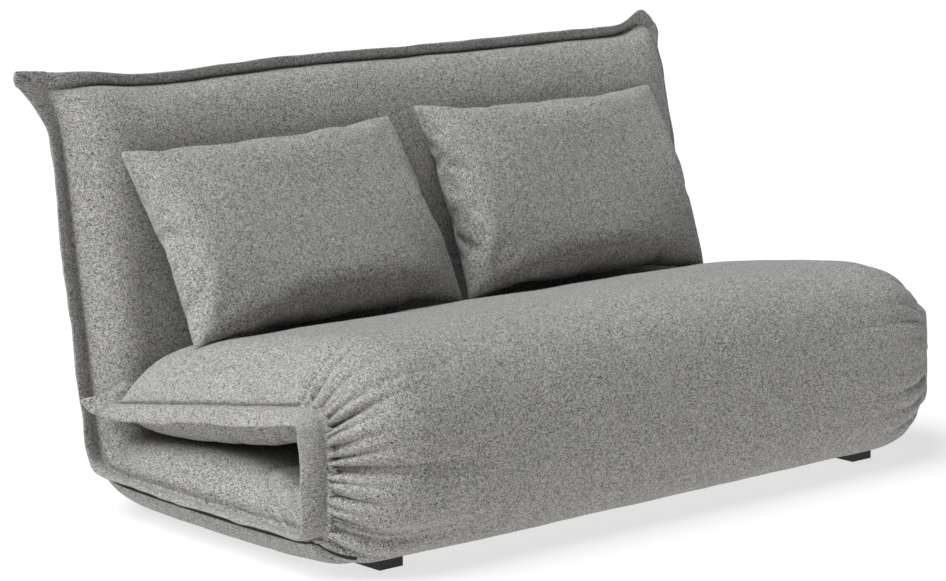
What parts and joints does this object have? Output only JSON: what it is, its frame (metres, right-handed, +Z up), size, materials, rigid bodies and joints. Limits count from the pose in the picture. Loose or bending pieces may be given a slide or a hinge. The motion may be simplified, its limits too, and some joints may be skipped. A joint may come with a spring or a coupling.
{
  "type": "futon sofa bed",
  "caption": "Floor-standing fold-out futon sofa bed: one padded fabric strip folds into seat, front, base and reclining back, with loose pillows.",
  "frame": {"origin": "on the floor, below the middle of the sofa's bounding box", "axes": "+X to the viewer's right seen from the front, the front faces -Y, +Z up"},
  "size_m": [1.4, 0.8368, 0.7126],
  "materials": {
    "cover_fabric": "matte",
    "pillow_fabric": "matte",
    "elastic_webbing": "matte",
    "tube_steel": "satin",
    "zinc_steel": "satin",
    "hardened_steel": "satin",
    "foot_plastic": "matte",
    "zip_coil": "satin"
  },
  "bodies": {
    "base": {"base_frame": "tube_steel", "base_webbing": "elastic_webbing", "base_foam_upper": "cover_fabric", "base_foam_lower": "cover_fabric", "base_zip": "zip_coil", "base_edge_left": "cover_fabric", "base_edge_right": "cover_fabric", "foot_front_left": "foot_plastic", "foot_front_right": "foot_plastic", "foot_rear_left": "foot_plastic", "foot_rear_right": "foot_plastic", "front_hinge_lug_base_left": "zinc_steel", "front_hinge_lug_base_right": "zinc_steel", "front_hinge_pin_left": "zinc_steel", "front_hinge_pin_right": "zinc_steel", "ratchet_housing_left": "zinc_steel", "ratchet_housing_right": "zinc_steel", "ratchet_axle_left": "zinc_steel", "ratchet_axle_right": "zinc_steel", "pawl_pin_left": "zinc_steel", "pawl_pin_right": "zinc_steel", "pawl_spring_left": "zinc_steel", "pawl_spring_right": "zinc_steel"},
    "back": {"back_frame": "tube_steel", "back_webbing": "elastic_webbing", "back_foam_front": "cover_fabric", "back_foam_rear": "cover_fabric", "back_edge": "cover_fabric", "ratchet_wheel_left": "hardened_steel", "ratchet_wheel_right": "hardened_steel"},
    "front": {"front_frame": "tube_steel", "front_foam_inner": "cover_fabric", "front_foam_outer": "cover_fabric", "front_edge_left": "cover_fabric", "front_edge_right": "cover_fabric", "front_hinge_lug_front_left": "zinc_steel", "front_hinge_lug_front_right": "zinc_steel", "seat_hinge_lug_front_left": "zinc_steel", "seat_hinge_lug_front_right": "zinc_steel", "seat_hinge_pin_left": "zinc_steel", "seat_hinge_pin_right": "zinc_steel"},
    "seat": {"seat_frame": "tube_steel", "seat_webbing": "elastic_webbing", "seat_foam_lower": "cover_fabric", "seat_foam_upper": "cover_fabric", "seat_edge": "cover_fabric", "seat_hinge_lug_seat_left": "zinc_steel", "seat_hinge_lug_seat_right": "zinc_steel"},
    "pawl_left": {"pawl_left": "hardened_steel"},
    "pawl_right": {"pawl_right": "hardened_steel"},
    "pillow_left": {"pillow_left": "pillow_fabric"},
    "pillow_right": {"pillow_right": "pillow_fabric"}
  },
  "joints": [
    {"name": "back_recline", "type": "hinge", "parent": "base", "child": "back", "pos_m": [0, 0.25565, 0.082], "axis": [-1, 0, 0], "range_deg": [0, 80]},
    {"name": "front_fold", "type": "hinge", "parent": "base", "child": "front", "pos_m": [0, -0.32435, 0.082], "axis": [1, 0, 0], "range_deg": [0, 90]},
    {"name": "seat_fold", "type": "hinge", "parent": "front", "child": "seat", "pos_m": [0, -0.32435, 0.27], "axis": [1, 0, 0], "range_deg": [0, 99], "deforming": ["pillow_left", "pillow_right"]},
    {"name": "pawl_left_lift", "type": "hinge", "parent": "base", "child": "pawl_left", "pos_m": [0, 0.216, 0.09737], "axis": [-1, 0, 0], "range_deg": [0, 10], "stiffness_Nm_per_rad": 0.3, "springref_deg": -17.19},
    {"name": "pawl_right_lift", "type": "hinge", "parent": "base", "child": "pawl_right", "pos_m": [0, 0.216, 0.09737], "axis": [-1, 0, 0], "range_deg": [0, 10], "stiffness_Nm_per_rad": 0.3, "springref_deg": -17.19},
    {"name": "pillow_left_slide", "type": "slide", "parent": "back", "child": "pillow_left", "axis": [0, 0.1736, 0.9848], "range_m": [0, 0.12]},
    {"name": "pillow_right_slide", "type": "slide", "parent": "back", "child": "pillow_right", "axis": [0, 0.1736, 0.9848], "range_m": [0, 0.12]}
  ]
}
